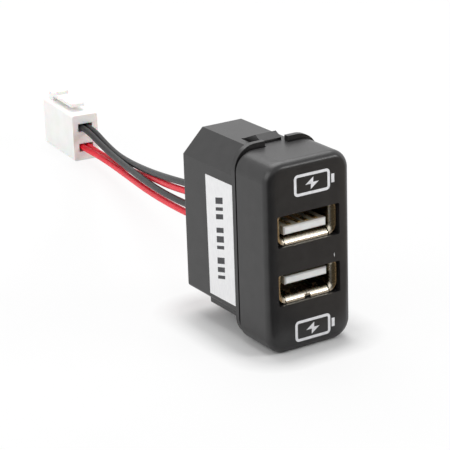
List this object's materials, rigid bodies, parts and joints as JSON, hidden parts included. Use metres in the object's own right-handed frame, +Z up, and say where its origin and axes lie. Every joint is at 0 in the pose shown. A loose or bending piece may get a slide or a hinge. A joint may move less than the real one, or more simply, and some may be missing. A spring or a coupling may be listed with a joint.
{
  "type": "snap-in dashboard charger socket",
  "caption": "Black snap-in dashboard charger with stacked rectangular charging ports in a rounded bezel, a latched rear housing and a short wire lead ending in a white connector.",
  "frame": {"origin": "under the middle of the charger, on the surface that its bezel stands on, measured without the wire lead and its connector", "axes": "+X to the right seen from the front, +Y from the ports to the wire exit, +Z up"},
  "size_m": [0.0432, 0.1757, 0.0455],
  "materials": {
    "black_abs": "fine spark-eroded satin black moulding",
    "nickel_plate": "bright nickel plate on stamped sheet",
    "white_nylon": "smooth white moulding",
    "gold_plate": "thin gold plate",
    "circuit_laminate": "green solder mask on glass laminate",
    "ferrite": "bare grey ferrite",
    "copper_wire": "enamelled copper winding",
    "aluminium_can": "drawn aluminium can",
    "chip_resin": "matt moulding resin",
    "label_paper": null,
    "black_pvc": "smooth wire insulation",
    "red_pvc": "smooth wire insulation",
    "connector_nylon": "natural white nylon, slightly see-through at thin walls",
    "brass": "stamped brass"
  },
  "bodies": {
    "root": {"front_bezel": "black_abs", "rear_housing": "black_abs", "side_label": "label_paper", "upper_black_wire": "black_pvc", "upper_red_wire": "red_pvc", "lower_black_wire": "black_pvc", "lower_red_wire": "red_pvc", "connector_housing": "connector_nylon", "connector_terminals": "brass", "lower_port_frame": "nickel_plate", "lower_port_tongue": "white_nylon", "lower_port_contacts": "gold_plate", "lower_circuit_board": "circuit_laminate", "lower_choke_core": "ferrite", "lower_choke_winding": "copper_wire", "lower_input_capacitor": "aluminium_can", "lower_output_capacitor": "aluminium_can", "lower_controller_chip": "chip_resin", "lower_rectifier_diode": "chip_resin", "upper_port_frame": "nickel_plate", "upper_port_tongue": "white_nylon", "upper_port_contacts": "gold_plate", "upper_circuit_board": "circuit_laminate", "upper_choke_core": "ferrite", "upper_choke_winding": "copper_wire", "upper_input_capacitor": "aluminium_can", "upper_output_capacitor": "aluminium_can", "upper_controller_chip": "chip_resin", "upper_rectifier_diode": "chip_resin"}
  },
  "joints": []
}
